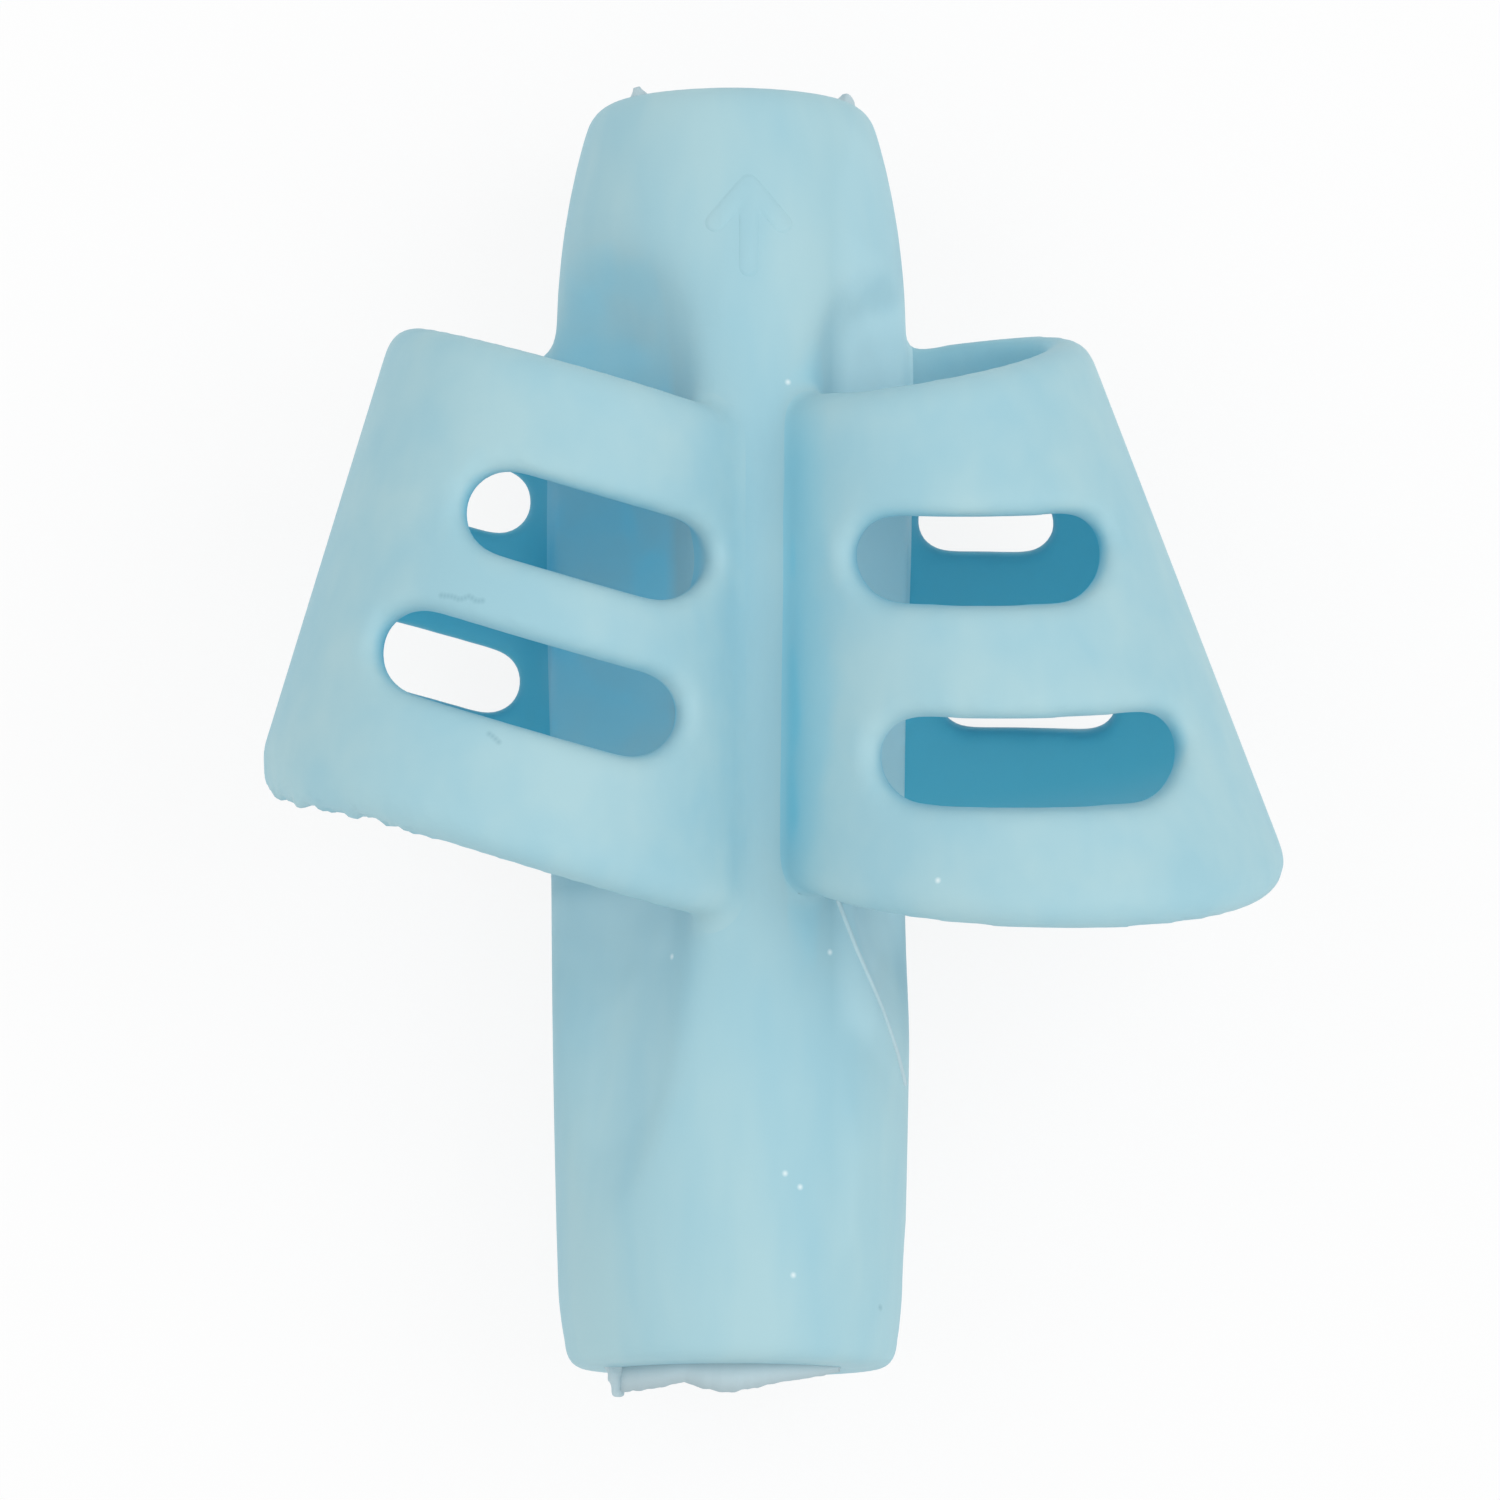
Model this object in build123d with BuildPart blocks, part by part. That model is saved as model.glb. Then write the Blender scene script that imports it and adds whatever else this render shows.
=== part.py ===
# Two-finger pencil grip: a moulded silicone sleeve for the pencil with a thumb pocket
# and an index-finger pocket grown onto its sides. Millimetres, +Y towards the pencil tip,
# +Z up as the grip lies on a table with its valley and arrow side facing up.
import os
from math import cos, radians, sin, sqrt

from build123d import *

# Sleeve, turned about the pencil axis
sleeve_length = 49.2
bore_radius = 3.9
bore_edge_round = 0.3
belly_radius = 6.96
belly_station = -6.0
shoulder_radius = 6.78
shoulder_station = 16.2
nose_radius = 5.32
nose_end_round = 1.3
tail_radius = 6.55
tail_end_round = 1.3

# Finger beds, the shallow hollows in the sleeve that the finger pads rest in
thumb_bed_angle = -46.0
thumb_bed_radius = 20.0
thumb_bed_depth = 1.7
thumb_bed_tip = 14.8
thumb_bed_tip_round = 5.0
thumb_bed_heel = -4.5
thumb_bed_run_out = 15.5
thumb_bed_lean = 0.0
thumb_bed_edge_round = 1.6
index_bed_angle = 66.6
index_bed_radius = 14.0
index_bed_depth = 1.7
index_bed_tip = 13.8
index_bed_tip_round = 8.0
index_bed_heel = -2.5
index_bed_run_out = 11.0
index_bed_lean = 16.0
index_bed_edge_round = 0.3

# Pocket walls, their rounded lips and the blends at their roots
pocket_wall = 1.8
lip_outer_round = 1.1
lip_inner_round = 0.5
thumb_root_round = 1.4
index_root_round = 0.35
root_land = 0.25

# Thumb pocket, a flared loop between two slanted rims
thumb_top_x = -6.2
thumb_top_y = 13.5
thumb_top_z = 4.63
thumb_top_radius = 7.02
thumb_top_rise_x = -0.283
thumb_top_rise_z = -0.094
thumb_bottom_x = -8.97
thumb_bottom_y = -5.05
thumb_bottom_z = 4.65
thumb_bottom_radius = 9.73
thumb_bottom_rise_x = -0.316
thumb_bottom_rise_z = -0.129

# Index pocket, flared more, with both rims leaning up towards the back
index_top_x = 7.5
index_top_y = 13.9
index_top_z = 3.9
index_top_radius = 6.16
index_top_rise_x = 0.183
index_top_rise_z = -0.278
index_bottom_x = 11.0
index_bottom_y = -5.9
index_bottom_z = 2.97
index_bottom_radius = 10.02
index_bottom_rise_x = -0.03
index_bottom_rise_z = -0.318

# Air slots, two in the front wall and two in the back wall of each pocket
slot_edge_round = 0.55
slot_reach = 7.0
front_slot_width = 3.2
front_slot_z = 11.3
back_slot_width = 2.5
back_slot_z = -4.0
thumb_slot_tilt = -16.5
thumb_slot_lean = -0.14
thumb_upper_front_x = -5.5
thumb_upper_front_y = 6.2
thumb_upper_front_length = 9.2
thumb_lower_front_x = -7.6
thumb_lower_front_y = 0.6
thumb_lower_front_length = 11.4
thumb_upper_back_x = -10.6
thumb_upper_back_y = 10.1
thumb_upper_back_length = 5.8
thumb_lower_back_x = -11.6
thumb_lower_back_y = 3.2
thumb_lower_back_length = 7.0
index_slot_tilt = 0.0
index_slot_lean = -0.258
index_upper_front_x = 9.4
index_upper_front_y = 5.1
index_upper_front_length = 9.3
index_lower_front_x = 11.25
index_lower_front_y = -2.4
index_lower_front_length = 11.2
index_upper_back_x = 9.9
index_upper_back_y = 9.1
index_upper_back_length = 5.3
index_lower_back_x = 11.55
index_lower_back_y = 1.95
index_lower_back_length = 6.9

os.makedirs("parts", exist_ok=True)
half_length = sleeve_length / 2
thumb_top = Vector(thumb_top_x, thumb_top_y, thumb_top_z)
thumb_bottom = Vector(thumb_bottom_x, thumb_bottom_y, thumb_bottom_z)
index_top = Vector(index_top_x, index_top_y, index_top_z)
index_bottom = Vector(index_bottom_x, index_bottom_y, index_bottom_z)
thumb_skin = (thumb_top, thumb_top_radius, thumb_bottom, thumb_bottom_radius)
index_skin = (index_top, index_top_radius, index_bottom, index_bottom_radius)
outer_round = min(lip_outer_round, 0.62 * pocket_wall)
inner_round = min(lip_inner_round, 0.3 * pocket_wall)


def sleeve_outline(swell, overrun):
    """Half outline of the sleeve, swollen outwards and run past both ends."""
    end = half_length + overrun
    with BuildSketch(Plane(origin=(0, 0, 0), x_dir=(0, 0, -1), z_dir=(1, 0, 0))) as outline:
        with BuildLine():
            Line((0, -end), (tail_radius + swell, -end))
            body = ThreePointArc(
                (tail_radius + swell, -end),
                (belly_radius + swell, belly_station),
                (shoulder_radius + swell, shoulder_station),
            )
            TangentArc(body @ 1, (nose_radius + swell, end), tangent=body % 1)
            Polyline((nose_radius + swell, end), (0, end), (0, -end))
        make_face()
    return outline.sketch


def bed_outline(angle, radius, depth, tip, tip_round, heel, run_out, lean):
    """Half outline of a finger laid along the sleeve: round tip, straight pad, long run-out."""
    side = Vector(sin(radians(angle)), 0, cos(radians(angle)))
    around = Vector(0, 1, 0).cross(side)
    along = Vector(0, cos(radians(lean)), 0) - around * sin(radians(lean))
    centre = side * (belly_radius - depth + radius)
    sweep = (run_out**2 + depth**2) / (2 * depth)
    sag = sweep - sqrt(sweep**2 - (run_out / 2) ** 2)
    end = heel - run_out
    with BuildSketch(Plane(origin=centre, x_dir=along.cross(side), z_dir=side)) as outline:
        with BuildLine():
            Line((0, end), (radius - depth, end))
            ThreePointArc((radius - depth, end), (radius - sag, heel - run_out / 2), (radius, heel))
            Line((radius, heel), (radius, tip))
            RadiusArc((radius, tip), (radius - tip_round, tip + tip_round), -tip_round)
            Polyline((radius - tip_round, tip + tip_round), (0, tip + tip_round), (0, end))
        make_face()
    return outline.sketch, Axis(centre, along)


def cone_outline(top, top_radius, bottom, bottom_radius, inset):
    """Half outline of a pocket cone about its finger line, run past both rims."""
    line = top - bottom
    spare = line.length / 3
    flare = (bottom_radius - top_radius) / line.length
    root_side = line.cross(Vector(0, 0, 1)) * (1 if bottom.X < 0 else -1)
    with BuildSketch(Plane(origin=bottom, x_dir=root_side, z_dir=root_side.cross(line))) as outline:
        with BuildLine():
            Polyline(
                (0, -spare),
                (bottom_radius - inset + flare * spare, -spare),
                (top_radius - inset - flare * spare, line.length + spare),
                (0, line.length + spare),
                close=True,
            )
        make_face()
    return outline.sketch, Axis(bottom, line)


def slot_outline(x, y, z, length, width, tilt, lean):
    """Round-ended slot across a pocket wall, square to its line of draw."""
    draw = Vector(0, lean, 1).normalized()
    row = Vector(cos(radians(tilt)), sin(radians(tilt)), 0)
    with BuildSketch(Plane(origin=(x, y, z), x_dir=row - draw * row.dot(draw), z_dir=draw)) as outline:
        SlotOverall(length, width)
    return outline.sketch


def on_cone(edge, top, top_radius, bottom, bottom_radius, inset):
    """True for an edge that runs around the skin of a pocket cone."""
    line = top - bottom
    axis = line.normalized()
    for share in (0.1, 0.37, 0.63, 0.9):
        offset = edge @ share - bottom
        station = offset.dot(axis)
        radius = bottom_radius + (top_radius - bottom_radius) * station / line.length - inset
        if abs((offset - axis * station).length - radius) > 0.02:
            return False
    return edge.geom_type != GeomType.LINE


def on_skin(edge, skin):
    """True for an edge that lies on the given skin."""
    for share in (0.2, 0.5, 0.8):
        if skin.distance_to(Vertex(*(edge @ share))) > 0.002:
            return False
    return True


thumb_bed, thumb_bed_axis = bed_outline(
    thumb_bed_angle,
    thumb_bed_radius,
    thumb_bed_depth,
    thumb_bed_tip,
    thumb_bed_tip_round,
    thumb_bed_heel,
    thumb_bed_run_out,
    thumb_bed_lean,
)
index_bed, index_bed_axis = bed_outline(
    index_bed_angle,
    index_bed_radius,
    index_bed_depth,
    index_bed_tip,
    index_bed_tip_round,
    index_bed_heel,
    index_bed_run_out,
    index_bed_lean,
)

# Sleeve body before its bore is cut, with the two finger beds hollowed out
with BuildPart() as sleeve_blank:
    revolve(sleeve_outline(0, 0), axis=Axis.Y)
    fillet(sleeve_blank.edges().filter_by(GeomType.CIRCLE).sort_by(Axis.Y)[-1], nose_end_round)
    fillet(sleeve_blank.edges().filter_by(GeomType.CIRCLE).sort_by(Axis.Y)[0], tail_end_round)
    plain_skin = sleeve_blank.part.shell()
    revolve(index_bed, axis=index_bed_axis, mode=Mode.SUBTRACT)
    index_rim = sleeve_blank.edges(Select.LAST).filter_by(lambda edge: on_skin(edge, plain_skin))
    fillet(index_rim, index_bed_edge_round)
    revolve(thumb_bed, axis=thumb_bed_axis, mode=Mode.SUBTRACT)
    thumb_rim = sleeve_blank.edges(Select.LAST).filter_by(lambda edge: on_skin(edge, plain_skin))
    fillet(thumb_rim, thumb_bed_edge_round)

# Sleeve outline swollen by the root land, which parts the pockets from the sleeve
with BuildPart() as sleeve_envelope:
    revolve(sleeve_outline(root_land, root_land), axis=Axis.Y)

with BuildPart() as thumb_wall:
    outer, finger_line = cone_outline(*thumb_skin, 0)
    revolve(outer, axis=finger_line)
    inner, finger_line = cone_outline(*thumb_skin, pocket_wall)
    revolve(inner, axis=finger_line, mode=Mode.SUBTRACT)
    top_rim = Plane(origin=thumb_top, z_dir=(-thumb_top_rise_x, 1, -thumb_top_rise_z))
    split(bisect_by=top_rim, keep=Keep.BOTTOM)
    bottom_rim = Plane(origin=thumb_bottom, z_dir=(-thumb_bottom_rise_x, 1, -thumb_bottom_rise_z))
    split(bisect_by=bottom_rim, keep=Keep.TOP)
    fillet(thumb_wall.edges().filter_by(lambda edge: on_cone(edge, *thumb_skin, 0)), outer_round)
    fillet(thumb_wall.edges().filter_by(lambda edge: on_cone(edge, *thumb_skin, pocket_wall)), inner_round)

with BuildPart() as index_wall:
    outer, finger_line = cone_outline(*index_skin, 0)
    revolve(outer, axis=finger_line)
    inner, finger_line = cone_outline(*index_skin, pocket_wall)
    revolve(inner, axis=finger_line, mode=Mode.SUBTRACT)
    top_rim = Plane(origin=index_top, z_dir=(-index_top_rise_x, 1, -index_top_rise_z))
    split(bisect_by=top_rim, keep=Keep.BOTTOM)
    bottom_rim = Plane(origin=index_bottom, z_dir=(-index_bottom_rise_x, 1, -index_bottom_rise_z))
    split(bisect_by=bottom_rim, keep=Keep.TOP)
    fillet(index_wall.edges().filter_by(lambda edge: on_cone(edge, *index_skin, 0)), outer_round)
    fillet(index_wall.edges().filter_by(lambda edge: on_cone(edge, *index_skin, pocket_wall)), inner_round)

# The whole moulding, with each pocket's root blended into the sleeve and the pencil bore cut
with BuildPart() as moulding:
    add(sleeve_blank.part)
    for wall, root_round in ((thumb_wall.part, thumb_root_round), (index_wall.part, index_root_round)):
        body_skin = moulding.part.shell()
        wall_skin = wall.shell()
        add(wall)
        roots = [e for e in moulding.edges() if on_skin(e, wall_skin) and on_skin(e, body_skin)]
        fillet(roots, root_round)
    with BuildSketch(Plane.XZ):
        Circle(bore_radius)
    extrude(amount=sleeve_length, both=True, mode=Mode.SUBTRACT)
    round_edges = moulding.edges().filter_by(GeomType.CIRCLE)
    fillet(round_edges.filter_by(lambda edge: abs(edge.radius - bore_radius) < 0.001), bore_edge_round)

# Cores that open the air slots, kept clear of the sleeve
with BuildPart() as slot_cores:
    for x, y, length in (
        (thumb_upper_front_x, thumb_upper_front_y, thumb_upper_front_length),
        (thumb_lower_front_x, thumb_lower_front_y, thumb_lower_front_length),
    ):
        slot = slot_outline(x, y, front_slot_z, length, front_slot_width, thumb_slot_tilt, thumb_slot_lean)
        extrude(slot, amount=slot_reach, both=True)
    for x, y, length in (
        (thumb_upper_back_x, thumb_upper_back_y, thumb_upper_back_length),
        (thumb_lower_back_x, thumb_lower_back_y, thumb_lower_back_length),
    ):
        slot = slot_outline(x, y, back_slot_z, length, back_slot_width, thumb_slot_tilt, thumb_slot_lean)
        extrude(slot, amount=slot_reach, both=True)
    for x, y, length in (
        (index_upper_front_x, index_upper_front_y, index_upper_front_length),
        (index_lower_front_x, index_lower_front_y, index_lower_front_length),
    ):
        slot = slot_outline(x, y, front_slot_z, length, front_slot_width, index_slot_tilt, index_slot_lean)
        extrude(slot, amount=slot_reach, both=True)
    for x, y, length in (
        (index_upper_back_x, index_upper_back_y, index_upper_back_length),
        (index_lower_back_x, index_lower_back_y, index_lower_back_length),
    ):
        slot = slot_outline(x, y, back_slot_z, length, back_slot_width, index_slot_tilt, index_slot_lean)
        extrude(slot, amount=slot_reach, both=True)
    add(sleeve_envelope.part, mode=Mode.SUBTRACT)

with BuildPart() as pencil_sleeve:
    add(moulding.part)
    add(sleeve_envelope.part, mode=Mode.INTERSECT)

with BuildPart() as pocket_pair:
    add(moulding.part)
    add(sleeve_envelope.part, mode=Mode.SUBTRACT)
    add(slot_cores.part, mode=Mode.SUBTRACT)

with BuildPart() as thumb_pocket:
    add(pocket_pair.solids().sort_by(Axis.X)[0])
    core_skins = [core.shell() for core in slot_cores.solids()]
    slot_edges = [
        edge
        for edge in thumb_pocket.edges()
        if on_cone(edge, *thumb_skin, 0) and any(on_skin(edge, skin) for skin in core_skins)
    ]
    fillet(slot_edges, slot_edge_round)

with BuildPart() as index_pocket:
    add(pocket_pair.solids().sort_by(Axis.X)[-1])
    slot_edges = [
        edge
        for edge in index_pocket.edges()
        if on_cone(edge, *index_skin, 0) and any(on_skin(edge, skin) for skin in core_skins)
    ]
    fillet(slot_edges, slot_edge_round)

pencil_sleeve.part.label = "pencil_sleeve"
thumb_pocket.part.label = "thumb_pocket"
index_pocket.part.label = "index_pocket"
export_step(pencil_sleeve.part, "parts/pencil_sleeve.step")
export_step(thumb_pocket.part, "parts/thumb_pocket.step")
export_step(index_pocket.part, "parts/index_pocket.step")
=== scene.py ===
from math import atan2, cos, pi, radians, sin, sqrt

import bmesh
import bpy
from mathutils import Matrix, Vector, noise
from mathutils.bvhtree import BVHTree
from mathutils.kdtree import KDTree


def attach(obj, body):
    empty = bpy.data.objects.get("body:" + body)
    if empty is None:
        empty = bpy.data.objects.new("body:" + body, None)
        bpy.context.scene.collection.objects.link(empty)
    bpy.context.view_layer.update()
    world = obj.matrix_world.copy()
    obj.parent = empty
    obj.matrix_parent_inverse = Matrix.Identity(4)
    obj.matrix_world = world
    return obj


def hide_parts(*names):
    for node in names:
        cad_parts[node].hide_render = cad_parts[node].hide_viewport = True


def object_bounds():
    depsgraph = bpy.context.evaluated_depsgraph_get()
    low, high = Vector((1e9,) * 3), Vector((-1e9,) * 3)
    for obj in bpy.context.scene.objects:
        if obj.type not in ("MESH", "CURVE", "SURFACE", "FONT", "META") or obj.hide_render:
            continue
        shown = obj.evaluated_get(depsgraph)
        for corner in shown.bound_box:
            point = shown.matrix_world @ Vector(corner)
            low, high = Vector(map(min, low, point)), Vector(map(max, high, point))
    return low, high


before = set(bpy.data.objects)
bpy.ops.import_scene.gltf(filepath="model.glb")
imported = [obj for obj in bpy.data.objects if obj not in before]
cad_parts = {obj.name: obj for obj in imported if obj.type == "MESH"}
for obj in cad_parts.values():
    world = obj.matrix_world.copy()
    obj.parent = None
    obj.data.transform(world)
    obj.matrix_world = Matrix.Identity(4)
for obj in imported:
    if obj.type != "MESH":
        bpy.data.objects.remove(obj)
cad_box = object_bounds()

# Sizes in metres, in the frame of the CAD model
mm = 0.001
weld_gap = 0.002 * mm
trim_gap = 0.01 * mm
above_all = 30 * mm
skin_grain = 0.24 * mm
skin_softening = 10
softening_factor = 0.5

# Sleeve outline at its skin, as station along the pencil and radius,
# and the land at which the pockets are parted from it
root_land = 0.25 * mm
sleeve_half = 24.6 * mm
sleeve_stations = (
    (-25.2 * mm, 6.55 * mm),
    (-15.0 * mm, 6.87 * mm),
    (-6.0 * mm, 6.97 * mm),
    (5.0 * mm, 6.97 * mm),
    (16.2 * mm, 6.79 * mm),
    (20.6 * mm, 6.32 * mm),
    (25.2 * mm, 5.32 * mm),
)
envelope_steps = 120
pocket_divide = 1.2 * mm

# Finger lines of the pockets, from the wide rim to the narrow one, with the inner radius at each
pocket_wall = 1.8 * mm
thumb_rim = Vector((-8.97, -5.05, 4.65)) * mm
thumb_line = (thumb_rim, 7.93 * mm, Vector((-6.2, 13.5, 4.63)) * mm, 5.22 * mm)
index_rim = Vector((11.0, -5.9, 2.97)) * mm
index_line = (index_rim, 8.22 * mm, Vector((7.5, 13.9, 3.9)) * mm, 4.36 * mm)

# Ragged part of the thumb pocket's wide rim, and its far corner, which is drawn out
thumb_rim_facing = Vector((0.316, 1, 0.129)).normalized()
ragged_from_x = -10.6 * mm
ragged_run = 1.0 * mm
ragged_band = 0.7 * mm
ragged_depth = 0.3 * mm
ragged_pitch = 0.5 * mm
ragged_lift = 0.1
corner_from_x = -13.2 * mm
corner_run = 3.5 * mm
corner_depth = 0.4 * mm

# Soft upper end of the thumb bed, between two corners
bed_end_low = Vector((-7.0, 14.6, 0.5)) * mm
bed_end_high = Vector((-0.4, 19.6, 7.0)) * mm
bed_end_softening = 40

# Rounded end of the tail, squarer than a plain round and drawn in a little before it,
# outside a radius that leaves the bore alone
tail_round = 1.3 * mm
tail_round_radius = 5.27 * mm
tail_squareness = 3.2
tail_draw_from = -21.4 * mm
tail_draw_run = 3.0 * mm
tail_draw_depth = 0.2 * mm
tail_draw_clear = 4.6 * mm
tail_draw_blend = 1.0 * mm

# Fine moulding ridge along the lower edge of the index finger's bed, as places along X and Y
ridge_line = (
    (4.05 * mm, -7.0 * mm),
    (4.77 * mm, -8.82 * mm),
    (5.78 * mm, -11.02 * mm),
    (6.35 * mm, -12.6 * mm),
    (6.68 * mm, -13.82 * mm),
)
ridge_steps = 12
ridge_radius = 0.11 * mm
ridge_rise = 0.07 * mm
ridge_detail = 3

# Raised arrow on the tip end
arrow_x = 0.68 * mm
arrow_point = 20.5 * mm
arrow_wing_drop = 1.55 * mm
arrow_wing_reach = 1.3 * mm
arrow_shaft = 3.3 * mm
arrow_stroke = 0.9 * mm
arrow_depth = 0.15 * mm
arrow_rise = 0.075 * mm
arrow_grain = 0.06 * mm
arrow_softening = 4
arrow_end_detail = 3
arrow_sides = 24

# Moulding flash: a torn film round the tail of the bore, as places across and reach past the tail
film_radius = 4.62 * mm
film_thickness = 0.12 * mm
film_step = 0.12 * mm
film_bedding = 0.2 * mm
film_droop = 0.15
film_tear = 0.06 * mm
film_tear_pitch = 0.3 * mm
film_edge = (
    (-4.4 * mm, 0.8 * mm),
    (-4.0 * mm, 0.95 * mm),
    (-2.9 * mm, 0.88 * mm),
    (-1.75 * mm, 0.66 * mm),
    (-1.2 * mm, 0.88 * mm),
    (-0.15 * mm, 1.1 * mm),
    (1.0 * mm, 0.88 * mm),
    (1.8 * mm, 0.68 * mm),
    (3.1 * mm, 0.45 * mm),
    (4.2 * mm, 0.15 * mm),
)

# Moulding flash: gate nubs at both ends, as name, place, facing, radius and length
gate_nubs = (
    ("tip_nub_left", Vector((-3.5, 24.3, 2.6)) * mm, Vector((-0.3, 1, 0)), 0.48 * mm, 0.62 * mm),
    ("tip_nub_right", Vector((4.4, 24.2, 1.4)) * mm, Vector((0.1, 1, 0)), 0.55 * mm, 0.66 * mm),
    ("tail_nub", Vector((-4.35, -24.1, 1.7)) * mm, Vector((0.02, -1, 0)), 0.6 * mm, 1.6 * mm),
)
nub_taper = 3.5
nub_sides = 20
nub_grain = 0.05 * mm
nub_softening = 3
nub_roughness = 0.07 * mm
nub_pitch = 0.35 * mm
nub_seed = 1

# Specks of dust, as places along X and Y on the upper side
dust_spots = (
    (2.18 * mm, 12.78 * mm),
    (-2.24 * mm, -9.18 * mm),
    (2.06 * mm, -17.49 * mm),
    (2.63 * mm, -17.99 * mm),
    (2.37 * mm, -21.33 * mm),
    (7.76 * mm, -6.94 * mm),
    (3.77 * mm, -9.02 * mm),
)

# Thin scuffs beside the thumb pocket's slots and on the tail,
# as starts and ends along X and Y and a count of marks
scuff_runs = (
    ((-10.85 * mm, 3.8 * mm), (-9.3 * mm, 3.52 * mm), 13),
    ((-9.0 * mm, -1.55 * mm), (-8.65 * mm, -1.9 * mm), 4),
    ((5.68 * mm, -22.38 * mm), (5.72 * mm, -22.42 * mm), 2),
)
scuff_wander = 0.16 * mm
scuff_pitch = 0.4 * mm

# Painted shade comes from how much of the skin's open view is blocked, found by looking out from it
# all round.
# Each span below gives the place where a share is none and the place where it is full.
shelter_rays = 40
shelter_reach = 14 * mm
shelter_lift = skin_grain / 4
shelter_blur = 3

# Painted shade in a pocket: the least shares left at its mouths and roots, and its inner wall
mouth_fade = 4.0 * mm
mouth_seen_share = 0.6
mouth_inner_share = 0.35
root_inner_share = 0.62
root_reach_span = (7.2 * mm, 9.7 * mm)
root_height_span = (4.5 * mm, 1.5 * mm)
inner_painted_shade = 0.85
inner_wall_span = (0.7 * pocket_wall, 0.2 * pocket_wall)

# Painted shade taken off in the open valley between the pockets
valley_loss = 0.85
valley_thumb_span = (-3.4 * mm, -1.8 * mm)
valley_index_span = (2.3 * mm, 1.7 * mm)
valley_height_span = (5.0 * mm, 6.0 * mm)

# Painted shade taken off the sleeve outside its bore, where light comes through, turning to painted
# light where more is taken off than there is
thumb_side_loss = 0.25
thumb_side_span = (-0.5 * mm, -1.7 * mm)
thumb_tail_loss = 1.3
thumb_tail_span = (-0.5 * mm, -1.5 * mm)
thumb_tail_run = (-5.0 * mm, -7.0 * mm)
index_side_loss = 1.9
index_side_span = (2.8 * mm, 4.8 * mm)
bore_clear_span = (4.4 * mm, 5.4 * mm)

# Painted shade added on the index pocket's flank, which faces away from the light
flank_painted_shade = 0.5
flank_span = (4.8 * mm, 2.2 * mm)
flank_height_span = (4.0 * mm, 5.0 * mm)

# Silicone finish: colours, of which the pale, half and deep ones are painted light and painted
# shade, stages of painted light and shade as the values where each begins and is full, and relief
tone_colours = ("Open colour", "Cloud colour", "Painted light colour", "Painted half shade colour", "Painted deep shade colour")
painted_light_and_shade_stages = (
    ("Painted light colour", 0, -0.5),
    ("Painted half shade colour", 0.15, 0.6),
    ("Painted deep shade colour", 0.5, 0.88),
)
open_blue = (0.35, 0.603, 0.69)
cloud_blue = (0.415, 0.643, 0.70)
# The pale blue is painted light; the half and deep blues, also on the sleeve, are painted shade
painted_light_blue = (0.60, 0.86, 0.92)
painted_half_shade_blue = (0.25, 0.59, 0.73)
painted_deep_shade_blue = (0.105, 0.545, 0.72)
sleeve_painted_half_shade_blue = (0.27, 0.69, 0.86)
sleeve_painted_deep_shade_blue = (0.15, 0.68, 0.90)
flash_blue = (0.50, 0.64, 0.69)
along_sleeve = (1, 0.3, 1)
along_pocket = (1, 0.7, 1)
cloud_scale = 240
cloud_detail = 3
cloud_roughness = 0.55
cloud_low = 0.38
cloud_high = 0.66
grain_scale = 5200
grain_share = 0.12
ripple_scale = 600
relief_detail = 2
relief_strength = 0.25
relief_depth = 0.1 * mm
silicone_shine = 0.3
least_roughness = 0.5
most_roughness = 0.64

# Marks in the finish, as size, strength and colour
dust_look = (0.15 * mm, 1, (0.78, 0.9, 0.93))
scuff_look = (0.16 * mm, 0.4, (0.14, 0.32, 0.4))

# Studio: a white floor, light from all round, lamps as name, place, size and power, and the camera
floor_size = 3
floor_white = (0.9, 0.9, 0.9, 1)
floor_roughness = 0.9
floor_glow = 0.87
white = (1, 1, 1, 1)
room_light = 0.6
lamps = (
    ("right_lamp", (0.33, 0.06, 0.38), 0.4, 0.9),
    ("left_lamp", (-0.35, 0.08, 0.36), 0.5, 0.64),
    ("front_lamp", (0.05, -0.42, 0.36), 0.5, 0.44),
)
camera_tip = radians(6.5)
camera_aim = Vector((0.73, -0.62, 0)) * mm
camera_distance = 400 * mm
camera_lens = 248.26
camera_sensor = 36


def placed(name, data):
    """New object at the origin."""
    piece = bpy.data.objects.new(name, data)
    bpy.context.scene.collection.objects.link(piece)
    return piece


def new_piece(shape, name):
    """Object at the origin holding the finished shape."""
    mesh = bpy.data.meshes.new(name)
    shape.to_mesh(mesh)
    shape.free()
    return placed(name, mesh)


def applied(piece):
    """Bakes the piece's modifiers into its mesh."""
    graph = bpy.context.evaluated_depsgraph_get()
    mesh = bpy.data.meshes.new_from_object(piece.evaluated_get(graph))
    mesh.name = piece.name
    piece.modifiers.clear()
    piece.data = mesh
    return piece


def even_grain(piece, grain):
    """Grows the piece's solids together into one even skin."""
    even = piece.modifiers.new("even_grain", "REMESH")
    even.mode = "VOXEL"
    even.voxel_size = grain
    return applied(piece)


def soften(verts, shape, passes):
    """Rounds off the skin at these points by passes of smoothing."""
    for _ in range(passes):
        bmesh.ops.smooth_vert(
            shape,
            verts=verts,
            factor=softening_factor,
            use_axis_x=True,
            use_axis_y=True,
            use_axis_z=True,
        )


def eased(value):
    """Smooth step from 0 to 1."""
    value = min(max(value, 0.0), 1.0)
    return value * value * (3 - 2 * value)


def ramp(value, none, full):
    """Smooth step from 0 where the value is at none to 1 where it is at full."""
    return eased((value - none) / (full - none))


def share_from(least, rise):
    """Share that goes from the least one to 1 as rise goes from 0 to 1."""
    return least + (1 - least) * rise


def axis_reach(point):
    """Distance from the pencil's axis."""
    return sqrt(point.x**2 + point.z**2)


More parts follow.
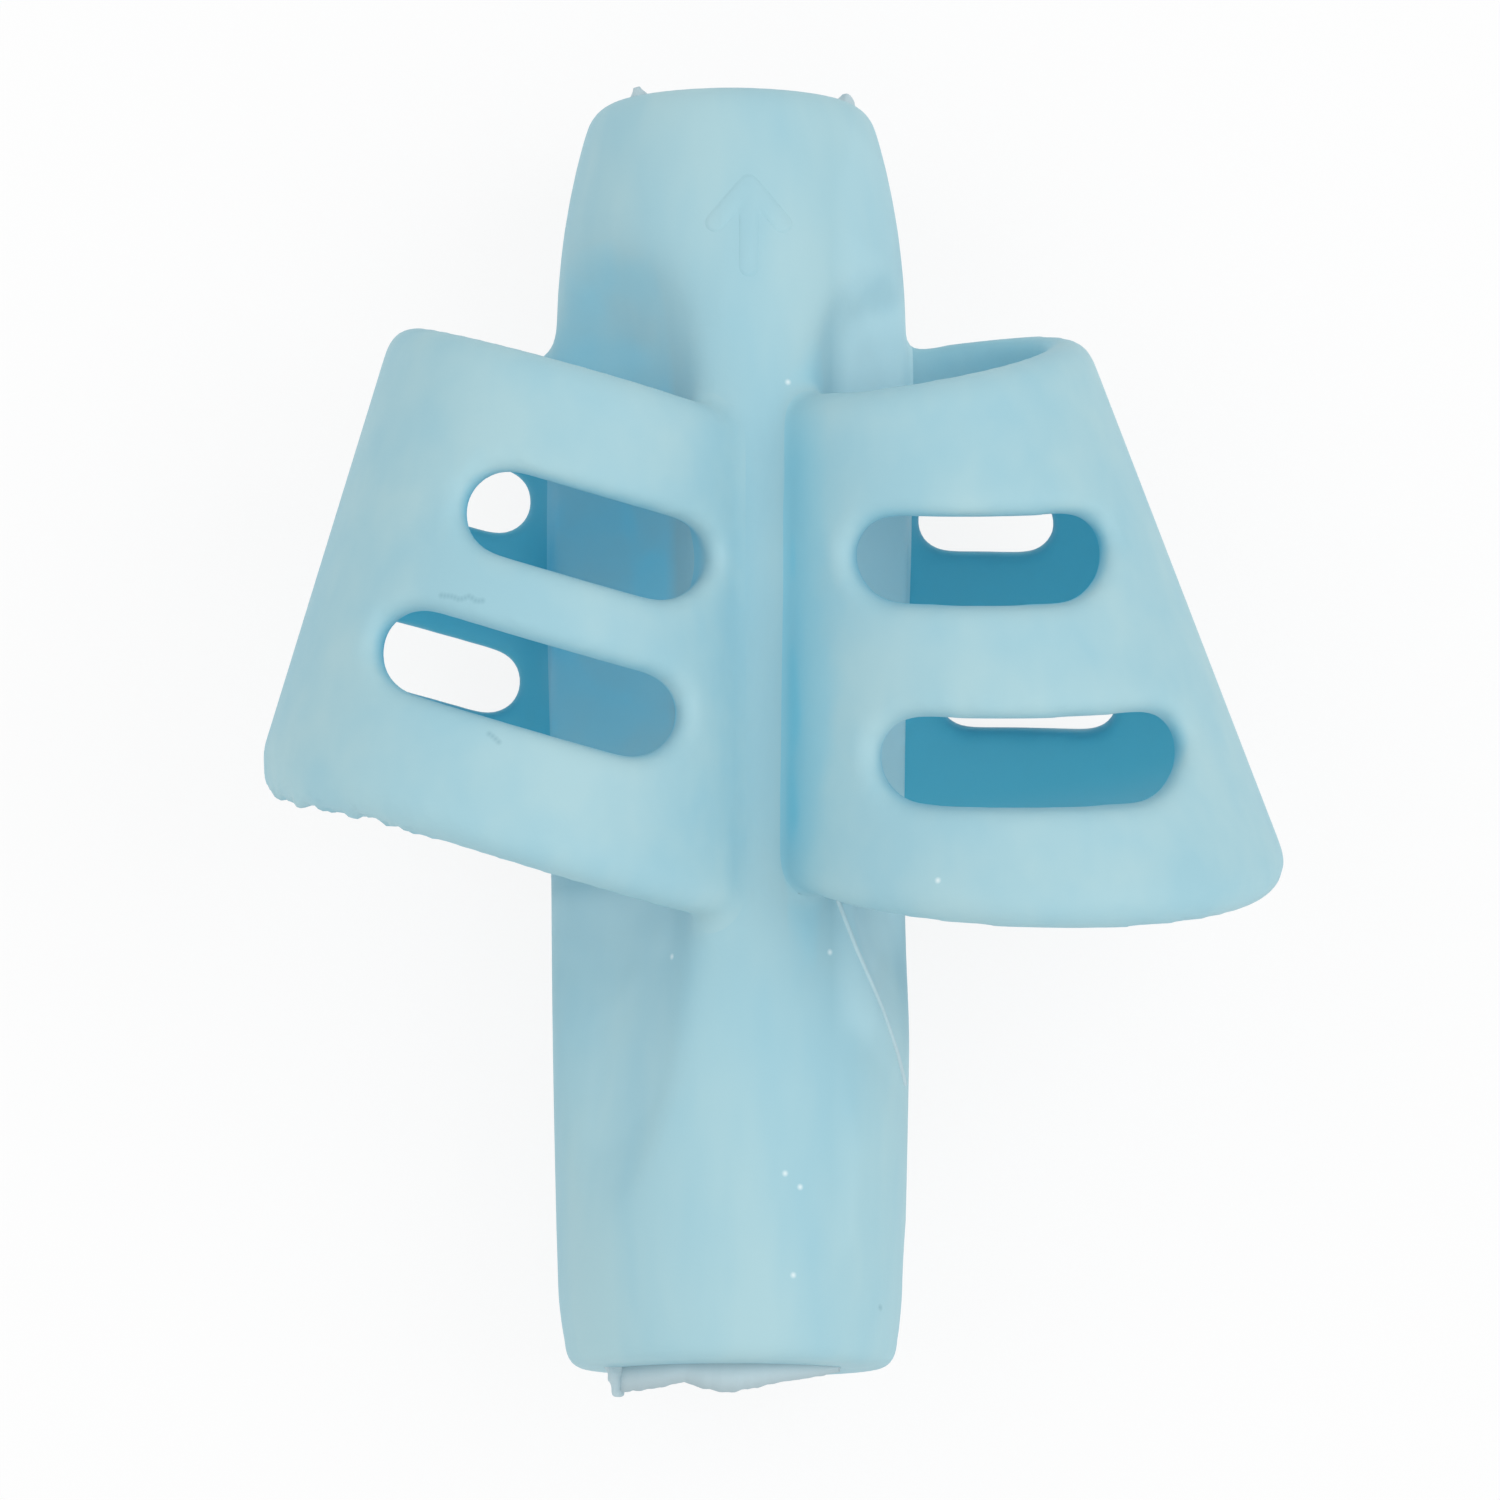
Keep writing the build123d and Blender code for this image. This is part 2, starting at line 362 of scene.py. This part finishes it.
def square_tail(vert):
    """Fills out the round of the tail's end a little and draws the tail in before it."""
    reach = axis_reach(vert.co)
    out = (reach - tail_round_radius) / tail_round
    along = (tail_round - sleeve_half - vert.co.y) / tail_round
    if out > 0 and along > 0:
        square = (out**tail_squareness + along**tail_squareness) ** (1 / tail_squareness)
        fill = sqrt(out**2 + along**2) / square
        spread = (tail_round_radius + out * fill * tail_round) / reach
        vert.co.x *= spread
        vert.co.z *= spread
        vert.co.y = tail_round - sleeve_half - along * fill * tail_round
    near_end = eased((tail_draw_from - vert.co.y) / tail_draw_run)
    drawn = tail_draw_depth * near_end * eased((reach - tail_draw_clear) / tail_draw_blend)
    vert.co.x *= 1 - drawn / reach
    vert.co.z *= 1 - drawn / reach


def ragged_rim(vert):
    """Draws the thumb pocket's wide rim out at its far corner and leaves it ragged."""
    height = (vert.co - thumb_rim).dot(thumb_rim_facing)
    if vert.co.x > ragged_from_x or height > ragged_band:
        return
    near = eased(1 - height / ragged_band)
    wave = max(noise.noise(vert.co / ragged_pitch) + ragged_lift, 0)
    rag = ragged_depth * eased((ragged_from_x - vert.co.x) / ragged_run) * wave
    corner = corner_depth * eased((corner_from_x - vert.co.x) / corner_run)
    vert.co -= thumb_rim_facing * near * (rag + corner)


def moulded_skin():
    """The sleeve and both pockets as one soft skin, ragged at the thumb pocket's rim."""
    cast = bmesh.new()
    for node in ("pencil_sleeve", "thumb_pocket", "index_pocket"):
        cast.from_mesh(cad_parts[node].data)
    bmesh.ops.remove_doubles(cast, verts=cast.verts, dist=weld_gap)
    skin = even_grain(new_piece(cast, "moulded_skin"), skin_grain)
    soft = bmesh.new()
    soft.from_mesh(skin.data)
    soften(soft.verts, soft, skin_softening)
    bed_end = [
        vert for vert in soft.verts
        if all(low < place < high for low, place, high in zip(bed_end_low, vert.co, bed_end_high))
    ]
    soften(bed_end, soft, bed_end_softening)
    for vert in soft.verts:
        square_tail(vert)
        ragged_rim(vert)
    soft.to_mesh(skin.data)
    soft.free()
    skin.data.shade_smooth()
    return skin


def root_envelope():
    """Turned solid just larger than the sleeve, which parts the pockets from it at their roots."""
    shape = bmesh.new()
    ends = (sleeve_stations[0][0], sleeve_stations[-1][0])
    outline = [shape.verts.new((0, ends[0], 0))]
    for station, radius in sleeve_stations:
        outline.append(shape.verts.new((radius + root_land, station, 0)))
    outline.append(shape.verts.new((0, ends[1], 0)))
    for start, end in zip(outline, outline[1:]):
        shape.edges.new((start, end))
    bmesh.ops.spin(
        shape,
        geom=shape.verts[:] + shape.edges[:],
        cent=(0, 0, 0),
        axis=(0, 1, 0),
        angle=2 * pi,
        steps=envelope_steps,
        use_merge=True,
    )
    bmesh.ops.remove_doubles(shape, verts=shape.verts, dist=weld_gap)
    bmesh.ops.recalc_face_normals(shape, faces=shape.faces)
    return new_piece(shape, "root_envelope")


def parted(skin, envelope, operation, name, side=0):
    """The skin inside or outside the root envelope, kept to one side where a side is given."""
    piece = placed(name, skin.data.copy())
    cut = piece.modifiers.new("root_cut", "BOOLEAN")
    cut.operation = operation
    cut.solver = "MANIFOLD"
    cut.object = envelope
    applied(piece)
    shape = bmesh.new()
    shape.from_mesh(piece.data)
    other = [vert for vert in shape.verts if (vert.co.x - pocket_divide) * side < 0]
    bmesh.ops.delete(shape, geom=other, context="VERTS")
    bmesh.ops.dissolve_degenerate(shape, dist=trim_gap, edges=shape.edges)
    bmesh.ops.remove_doubles(shape, verts=shape.verts, dist=trim_gap)
    folded = [vert for vert in shape.verts if len(vert.link_edges) == 2]
    bmesh.ops.dissolve_verts(shape, verts=folded)
    shape.to_mesh(piece.data)
    shape.free()
    return piece


def even_directions(count):
    """Directions spread evenly over a sphere."""
    directions = []
    for step in range(count):
        height = 1 - (2 * step + 1) / count
        turn = step * pi * (3 - sqrt(5))
        reach = sqrt(1 - height * height)
        directions.append(Vector((cos(turn) * reach, sin(turn) * reach, height)))
    return directions


def skin_shelter(skin):
    """Tree of the skin's points, and the share of its open view that each has lost, from which
    shade is painted into the colour.
    """
    mesh = skin.data
    walls = BVHTree.FromObject(skin, bpy.context.evaluated_depsgraph_get())
    rays = even_directions(shelter_rays)
    values = []
    for vertex in mesh.vertices:
        start = vertex.co + vertex.normal * shelter_lift
        whole = lost = 0.0
        for ray in rays:
            lean = ray.dot(vertex.normal)
            if lean > 0:
                whole += lean
                if walls.ray_cast(start, ray, shelter_reach)[0]:
                    lost += lean
        values.append(lost / whole)
    for _ in range(shelter_blur):
        total = values[:]
        count = [1] * len(values)
        for edge in mesh.edges:
            first, second = edge.vertices
            total[first] += values[second]
            total[second] += values[first]
            count[first] += 1
            count[second] += 1
        values = [value / number for value, number in zip(total, count)]
    points = KDTree(len(values))
    for number, vertex in enumerate(mesh.vertices):
        points.insert(vertex.co, number)
    points.balance()
    return points, values


def pocket_painted_shade(point, seen, wide, wide_radius, narrow, narrow_radius):
    """Painted shade in a finger pocket, made full on its inner wall and eased off at mouths and
    roots.
    """
    line = narrow - wide
    station = (point - wide).dot(line) / line.length_squared
    radius = wide_radius + (narrow_radius - wide_radius) * station
    reach = (point - wide - line * station).length
    mouth = eased(min(station, 1 - station) * line.length / mouth_fade)
    root = max(ramp(axis_reach(point), *root_reach_span), ramp(point.z, *root_height_span))
    inner = inner_painted_shade * ramp(reach - radius, *inner_wall_span)
    inner *= share_from(mouth_inner_share, mouth) * share_from(root_inner_share, root)
    return max(seen * share_from(mouth_seen_share, mouth), inner)


def valley_share(point):
    """Share of its painted shade that the skin keeps in the open valley between the two pockets."""
    across = ramp(point.x, *valley_thumb_span) * ramp(point.x, *valley_index_span)
    return 1 - valley_loss * across * ramp(point.z, *valley_height_span)


def thumb_painted_shade(point, seen):
    """Painted shade shown on the thumb pocket."""
    return pocket_painted_shade(point, seen * valley_share(point), *thumb_line)


def index_painted_shade(point, seen):
    """Painted shade shown on the index pocket, with more on its flank, which stands with its back
    to the light.
    """
    flank = flank_painted_shade * ramp(point.x, *flank_span) * ramp(point.z, *flank_height_span)
    return pocket_painted_shade(point, max(seen, flank), *index_line)


def sleeve_painted_light_and_shade(point, seen):
    """Painted light and shade shown on the sleeve: less shade where light comes through, below 0
    where it is painted pale.
    """
    thumb_side = thumb_side_loss * ramp(point.x, *thumb_side_span)
    thumb_tail = ramp(point.y, *thumb_tail_run) * ramp(point.x, *thumb_tail_span)
    index_side = index_side_loss * ramp(point.x, *index_side_span)
    loss = thumb_side + thumb_tail_loss * thumb_tail + index_side
    outside = ramp(axis_reach(point), *bore_clear_span)
    return seen * (1 - loss * outside) * valley_share(point)


def paint_light_and_shade_on(piece, points, values, shown):
    """Paints light and shade into every point of the piece, from the blocked view of the skin next
    to it, as it is shown there.
    """
    # Painted light and shade: above 0 paints the colour darker and deeper, below 0 paints it pale
    painted_light_and_shade = piece.data.attributes.new("painted_light_and_shade", "FLOAT", "POINT").data
    for vertex, item in zip(piece.data.vertices, painted_light_and_shade):
        item.value = shown(vertex.co, values[points.find(vertex.co)[1]])
    piece.data.shade_smooth()


def shade_as(piece, skin):
    """Takes the skin's shading over, so that the parted pieces show no seam at the roots."""
    shading = piece.modifiers.new("skin_shading", "DATA_TRANSFER")
    shading.object = skin
    shading.use_loop_data = True
    shading.data_types_loops = {"CUSTOM_NORMAL"}
    shading.loop_mapping = "POLYINTERP_NEAREST"
    applied(piece)


def seat_height(skin, x, y):
    """Height of the upper skin at a place along X and Y."""
    graph = bpy.context.evaluated_depsgraph_get()
    start = Vector((x, y, above_all))
    return skin.evaluated_get(graph).ray_cast(start, Vector((0, 0, -1)))[1].z


def direction_arrow(skin):
    """Low raised arrow that points at the pencil's tip, half bedded in the sleeve's skin."""
    shape = bmesh.new()
    strokes = (
        Vector((0, -arrow_shaft, 0)),
        Vector((-arrow_wing_reach, -arrow_wing_drop, 0)),
        Vector((arrow_wing_reach, -arrow_wing_drop, 0)),
    )
    flat = Matrix.Diagonal((1, 1, 2 * arrow_depth / arrow_stroke, 1))
    for run in strokes:
        turn = Matrix.Rotation(atan2(-run.x, run.y), 4, "Z") @ Matrix.Rotation(pi / 2, 4, "X")
        for end in (0, 1):
            bmesh.ops.create_icosphere(
                shape,
                subdivisions=arrow_end_detail,
                radius=arrow_stroke / 2,
                matrix=flat @ Matrix.Translation(run * end),
            )
        bmesh.ops.create_cone(
            shape,
            cap_ends=True,
            segments=arrow_sides,
            radius1=arrow_stroke / 2,
            radius2=arrow_stroke / 2,
            depth=run.length,
            matrix=flat @ Matrix.Translation(run / 2) @ turn,
        )
    arrow = even_grain(new_piece(shape, "direction_arrow"), arrow_grain)
    soft = bmesh.new()
    soft.from_mesh(arrow.data)
    soften(soft.verts, soft, arrow_softening)
    for vert in soft.verts:
        x = vert.co.x + arrow_x
        y = vert.co.y + arrow_point
        vert.co = Vector((x, y, seat_height(skin, x, y) + vert.co.z + arrow_rise - arrow_depth))
    soft.to_mesh(arrow.data)
    soft.free()
    return arrow


def scuff_marks(skin):
    """Places along the scuffs, wandering a little to either side."""
    places = []
    for (x0, y0), (x1, y1), count in scuff_runs:
        for step in range(count):
            along = step / (count - 1)
            x = x0 + (x1 - x0) * along
            wander = noise.noise(Vector((x / scuff_pitch, 0, 0))) * scuff_wander
            y = y0 + (y1 - y0) * along + wander
            places.append(Vector((x, y, seat_height(skin, x, y))))
    return places


def edge_length(x):
    """How far the torn film reaches past the tail at a place across it."""
    for (left, near), (right, far) in zip(film_edge, film_edge[1:]):
        if left <= x <= right:
            return near + (far - near) * (x - left) / (right - left)
    return 0.0


def tail_film():
    """Thin torn film left round the upper half of the bore's tail."""
    shape = bmesh.new()
    count = int((film_edge[-1][0] - film_edge[0][0]) / film_step)
    chain = []
    for step in range(count + 1):
        x = film_edge[0][0] + step * film_step
        height = sqrt(film_radius**2 - x * x)
        chain.append(shape.verts.new((x, -sleeve_half + film_bedding, height)))
    edges = [shape.edges.new(pair) for pair in zip(chain, chain[1:])]
    grown = bmesh.ops.extrude_edge_only(shape, edges=edges)["geom"]
    for vert in (item for item in grown if isinstance(item, bmesh.types.BMVert)):
        reach = edge_length(vert.co.x)
        tear = noise.noise(Vector((vert.co.x / film_tear_pitch, 0, 0))) * film_tear
        vert.co.y = -sleeve_half - reach - tear
        vert.co.z -= reach * film_droop
    bmesh.ops.recalc_face_normals(shape, faces=shape.faces)
    film = new_piece(shape, "tail_film")
    wall = film.modifiers.new("wall", "SOLIDIFY")
    wall.thickness = film_thickness
    wall.offset = 0
    return applied(film)


def bed_ridge(sleeve):
    """Hair-thin ridge that the mould left along the lower edge of the index bed."""
    ridge = bpy.data.curves.new("bed_ridge", "CURVE")
    ridge.dimensions = "3D"
    ridge.bevel_depth = ridge_radius
    ridge.bevel_resolution = ridge_detail
    ridge.use_fill_caps = True
    places = []
    for (x0, y0), (x1, y1) in zip(ridge_line, ridge_line[1:]):
        for step in range(ridge_steps):
            along = step / ridge_steps
            places.append((x0 + (x1 - x0) * along, y0 + (y1 - y0) * along))
    line = ridge.splines.new("POLY")
    line.points.add(len(places) - 1)
    for point, (x, y) in zip(line.points, places):
        point.co = (x, y, seat_height(sleeve, x, y) - ridge_radius + ridge_rise, 1)
    drawn = placed("bed_ridge", ridge)
    graph = bpy.context.evaluated_depsgraph_get()
    mesh = bpy.data.meshes.new_from_object(drawn.evaluated_get(graph))
    bpy.data.objects.remove(drawn)
    return placed("bed_ridge", mesh)


def gate_nub(name, place, facing, radius, length):
    """Small torn point where the mould's gate or vent was broken off."""
    shape = bmesh.new()
    turn = facing.to_track_quat("Z", "Y").to_matrix().to_4x4()
    bmesh.ops.create_cone(
        shape,
        cap_ends=True,
        segments=nub_sides,
        radius1=radius,
        radius2=radius / nub_taper,
        depth=length,
        matrix=Matrix.Translation(place + facing.normalized() * length / 2) @ turn,
    )
    nub = even_grain(new_piece(shape, name), nub_grain)
    soft = bmesh.new()
    soft.from_mesh(nub.data)
    soften(soft.verts, soft, nub_softening)
    for vert in soft.verts:
        vert.co += noise.noise_vector(vert.co / nub_pitch) * nub_roughness
    soft.to_mesh(nub.data)
    soft.free()
    return nub


skin = moulded_skin()
envelope = root_envelope()
sleeve = parted(skin, envelope, "INTERSECT", "sleeve_skin")
thumb = parted(skin, envelope, "DIFFERENCE", "thumb_pocket_skin", side=-1)
index = parted(skin, envelope, "DIFFERENCE", "index_pocket_skin", side=1)
arrow = direction_arrow(skin)
film = tail_film()
ridge = bed_ridge(sleeve)
noise.seed_set(nub_seed)
nubs = [gate_nub(*nub) for nub in gate_nubs]
points, values = skin_shelter(skin)
paint_light_and_shade_on(thumb, points, values, thumb_painted_shade)
paint_light_and_shade_on(index, points, values, index_painted_shade)
for piece in (sleeve, arrow, film, ridge, *nubs):
    paint_light_and_shade_on(piece, points, values, sleeve_painted_light_and_shade)
for piece in (sleeve, thumb, index):
    shade_as(piece, skin)
dust_places = [Vector((x, y, seat_height(skin, x, y))) for x, y in dust_spots]
scuff_places = scuff_marks(skin)
bpy.data.objects.remove(skin)
bpy.data.objects.remove(envelope)

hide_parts("pencil_sleeve")
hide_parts("thumb_pocket")
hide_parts("index_pocket")
for piece in (sleeve, thumb, index, arrow, film, ridge, *nubs):
    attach(piece, "root")


# Silicone finish, with painted light and shade
def set_inputs(node, values):
    """Sets inputs of a node by their names."""
    for socket, value in values.items():
        node.inputs[socket].default_value = value


def new_group(name, inputs, outputs):
    """Shader group with these sockets, each a name and a type."""
    group = bpy.data.node_groups.new(name, "ShaderNodeTree")
    for in_out, sockets in (("INPUT", inputs), ("OUTPUT", outputs)):
        for socket, socket_type in sockets:
            group.interface.new_socket(socket, in_out=in_out, socket_type=socket_type)
    return group


def colour_over(tree, under, factor):
    """Mix that lays a second colour, its input B, over the one under it."""
    mix = tree.nodes.new("ShaderNodeMix")
    mix.data_type = "RGBA"
    tree.links.new(factor, mix.inputs["Factor"])
    tree.links.new(under, mix.inputs["A"])
    return mix


def silicone_tone_and_painted_shade_group():
    """Skin colour of moulded silicone: cloudy at random, with painted shade making it deep in
    hollows and painted light making it pale.
    """
    group = new_group(
        "silicone_tone_and_painted_shade",
        (
            *((socket, "NodeSocketColor") for socket in tone_colours),
            ("Painted light and shade", "NodeSocketFloat"),
            ("Cloud stretch", "NodeSocketVector"),
        ),
        (
            ("Colour", "NodeSocketColor"),
            ("Roughness", "NodeSocketFloat"),
            ("Height", "NodeSocketFloat"),
        ),
    )
    nodes, links = group.nodes, group.links
    inputs = nodes.new("NodeGroupInput")
    outputs = nodes.new("NodeGroupOutput")
    place = nodes.new("ShaderNodeTexCoord")

    stretch = nodes.new("ShaderNodeMapping")
    links.new(inputs.outputs["Cloud stretch"], stretch.inputs["Scale"])
    links.new(place.outputs["Object"], stretch.inputs["Vector"])
    cloud = nodes.new("ShaderNodeTexNoise")
    set_inputs(cloud, {"Scale": cloud_scale, "Detail": cloud_detail, "Roughness": cloud_roughness})
    links.new(stretch.outputs["Vector"], cloud.inputs["Vector"])
    cloudy = nodes.new("ShaderNodeMapRange")
    set_inputs(cloudy, {"From Min": cloud_low, "From Max": cloud_high})
    links.new(cloud.outputs["Fac"], cloudy.inputs["Value"])
    colour = colour_over(group, inputs.outputs["Open colour"], cloudy.outputs["Result"])
    links.new(inputs.outputs["Cloud colour"], colour.inputs["B"])

    for socket, begins, full in painted_light_and_shade_stages:
        stage = nodes.new("ShaderNodeMapRange")
        set_inputs(stage, {"From Min": begins, "From Max": full})
        links.new(inputs.outputs["Painted light and shade"], stage.inputs["Value"])
        colour = colour_over(group, colour.outputs["Result"], stage.outputs["Result"])
        links.new(inputs.outputs[socket], colour.inputs["B"])
    links.new(colour.outputs["Result"], outputs.inputs["Colour"])

    grain = nodes.new("ShaderNodeTexNoise")
    ripple = nodes.new("ShaderNodeTexNoise")
    for relief, scale in ((grain, grain_scale), (ripple, ripple_scale)):
        set_inputs(relief, {"Scale": scale, "Detail": relief_detail})
        links.new(place.outputs["Object"], relief.inputs["Vector"])
    height = nodes.new("ShaderNodeMath")
    height.operation = "MULTIPLY_ADD"
    links.new(grain.outputs["Fac"], height.inputs[0])
    height.inputs[1].default_value = grain_share
    links.new(ripple.outputs["Fac"], height.inputs[2])
    links.new(height.outputs["Value"], outputs.inputs["Height"])

    sheen = nodes.new("ShaderNodeMapRange")
    set_inputs(sheen, {"To Min": least_roughness, "To Max": most_roughness})
    links.new(ripple.outputs["Fac"], sheen.inputs["Value"])
    links.new(sheen.outputs["Result"], outputs.inputs["Roughness"])
    return group


def speck_group(name, places):
    """Mask of a few small specks at these places."""
    group = new_group(
        name,
        (("Speck size", "NodeSocketFloat"), ("Strength", "NodeSocketFloat")),
        (("Specks", "NodeSocketFloat"),),
    )
    nodes, links = group.nodes, group.links
    inputs = nodes.new("NodeGroupInput")
    outputs = nodes.new("NodeGroupOutput")
    place = nodes.new("ShaderNodeTexCoord")
    nearest = None
    for spot in places:
        away = nodes.new("ShaderNodeVectorMath")
        away.operation = "DISTANCE"
        away.inputs[1].default_value = spot
        links.new(place.outputs["Object"], away.inputs[0])
        if nearest is None:
            nearest = away.outputs["Value"]
            continue
        nearer = nodes.new("ShaderNodeMath")
        nearer.operation = "MINIMUM"
        links.new(nearest, nearer.inputs[0])
        links.new(away.outputs["Value"], nearer.inputs[1])
        nearest = nearer.outputs["Value"]
    specks = nodes.new("ShaderNodeMapRange")
    set_inputs(specks, {"From Min": 0, "To Max": 0})
    links.new(nearest, specks.inputs["Value"])
    links.new(inputs.outputs["Strength"], specks.inputs["To Min"])
    links.new(inputs.outputs["Speck size"], specks.inputs["From Max"])
    links.new(specks.outputs["Result"], outputs.inputs["Specks"])
    return group


tone = silicone_tone_and_painted_shade_group()
dust = speck_group("clinging_dust", dust_places)
scuffs = speck_group("scuff_marks", scuff_places)


def silicone(name, stretch, *colours):
    """Matte silicone for one piece, with its colours in the order of tone_colours, the last three
    being painted light and painted shade.
    """
    material = bpy.data.materials.new(name)
    material.use_nodes = True
    tree = material.node_tree
    nodes, links = tree.nodes, tree.links
    surface = nodes["Principled BSDF"]
    surface.inputs["Specular IOR Level"].default_value = silicone_shine

    # Painted light and shade read from each point, which picks the pale, half and deep blues
    painted_shade_reader = nodes.new("ShaderNodeAttribute")
    painted_shade_reader.attribute_name = "painted_light_and_shade"
    skin_tone = nodes.new("ShaderNodeGroup")
    skin_tone.node_tree = tone
    skin_tone.inputs["Cloud stretch"].default_value = stretch
    set_inputs(skin_tone, {socket: (*blue, 1) for socket, blue in zip(tone_colours, colours)})
    links.new(painted_shade_reader.outputs["Fac"], skin_tone.inputs["Painted light and shade"])

    colour = skin_tone.outputs["Colour"]
    for marks, (size, strength, mark_colour) in ((dust, dust_look), (scuffs, scuff_look)):
        mask = nodes.new("ShaderNodeGroup")
        mask.node_tree = marks
        set_inputs(mask, {"Speck size": size, "Strength": strength})
        marked = colour_over(tree, colour, mask.outputs["Specks"])
        marked.inputs["B"].default_value = (*mark_colour, 1)
        colour = marked.outputs["Result"]
    links.new(colour, surface.inputs["Base Color"])
    links.new(skin_tone.outputs["Roughness"], surface.inputs["Roughness"])

    relief = nodes.new("ShaderNodeBump")
    set_inputs(relief, {"Strength": relief_strength, "Distance": relief_depth})
    links.new(skin_tone.outputs["Height"], relief.inputs["Height"])
    links.new(relief.outputs["Normal"], surface.inputs["Normal"])
    return material


skin_blues = (open_blue, cloud_blue, painted_light_blue)
sleeve_blues = (*skin_blues, sleeve_painted_half_shade_blue, sleeve_painted_deep_shade_blue)
pocket_blues = (*skin_blues, painted_half_shade_blue, painted_deep_shade_blue)
flash_blues = (flash_blue, flash_blue, painted_light_blue, painted_half_shade_blue, painted_deep_shade_blue)
sleeve_finish = silicone("sleeve_silicone", along_sleeve, *sleeve_blues)
thumb_finish = silicone("thumb_silicone", along_pocket, *pocket_blues)
index_finish = silicone("index_silicone", along_pocket, *pocket_blues)
flash_finish = silicone("flash_silicone", along_sleeve, *flash_blues)
finishes = {sleeve: sleeve_finish, thumb: thumb_finish, index: index_finish, arrow: sleeve_finish}
for piece in (sleeve, thumb, index, arrow, film, ridge, *nubs):
    piece.data.materials.clear()
    piece.data.materials.append(finishes.get(piece, flash_finish))


# Floor, light and camera
def studio_floor():
    """Large white sheet under the grip, bright to the camera and still holding the shadow."""
    shape = bmesh.new()
    bmesh.ops.create_grid(shape, x_segments=1, y_segments=1, size=floor_size)
    bmesh.ops.translate(shape, verts=shape.verts, vec=(0, 0, cad_box[0].z))
    floor = new_piece(shape, "studio_floor")
    material = bpy.data.materials.new("white_sheet")
    material.use_nodes = True
    nodes, links = material.node_tree.nodes, material.node_tree.links
    paper = nodes["Principled BSDF"]
    set_inputs(paper, {"Base Color": floor_white, "Roughness": floor_roughness})
    paper.inputs["Specular IOR Level"].default_value = 0
    glow = nodes.new("ShaderNodeEmission")
    glow.inputs["Color"].default_value = white
    path = nodes.new("ShaderNodeLightPath")
    share = nodes.new("ShaderNodeMath")
    share.operation = "MULTIPLY"
    share.inputs[1].default_value = floor_glow
    seen = nodes.new("ShaderNodeMath")
    seen.operation = "MAXIMUM"
    links.new(path.outputs["Is Camera Ray"], seen.inputs[0])
    links.new(path.outputs["Is Glossy Ray"], seen.inputs[1])
    links.new(seen.outputs["Value"], share.inputs[0])
    mixed = nodes.new("ShaderNodeMixShader")
    links.new(share.outputs["Value"], mixed.inputs["Fac"])
    links.new(paper.outputs["BSDF"], mixed.inputs[1])
    links.new(glow.outputs["Emission"], mixed.inputs[2])
    links.new(mixed.outputs["Shader"], nodes["Material Output"].inputs["Surface"])
    floor.data.materials.append(material)


def soft_lamp(name, place, size, power):
    """Square soft box aimed at the grip."""
    lamp = bpy.data.lights.new(name, "AREA")
    lamp.size = size
    lamp.energy = power
    stand = placed(name, lamp)
    stand.location = place
    stand.rotation_euler = (-Vector(place)).to_track_quat("-Z", "Y").to_euler()


def pale_room():
    """Even pale light from all round."""
    world = bpy.data.worlds.new("pale_room")
    world.use_nodes = True
    set_inputs(world.node_tree.nodes["Background"], {"Color": white, "Strength": room_light})
    bpy.context.scene.world = world


def main_camera():
    """Long lens nearly straight above the grip, tipped a little towards its tail."""
    back = Vector((0, -sin(camera_tip), cos(camera_tip)))
    up = Vector((0, cos(camera_tip), sin(camera_tip)))
    lens = bpy.data.cameras.new("main_camera")
    lens.lens = camera_lens
    lens.sensor_width = camera_sensor
    camera = placed("main_camera", lens)
    turn = Matrix((Vector((1, 0, 0)), up, back)).transposed().to_4x4()
    turn.translation = camera_aim + back * camera_distance
    camera.matrix_world = turn
    bpy.context.scene.camera = camera


studio_floor()
pale_room()
for lamp in lamps:
    soft_lamp(*lamp)
main_camera()
bpy.context.scene.view_settings.view_transform = "Standard"
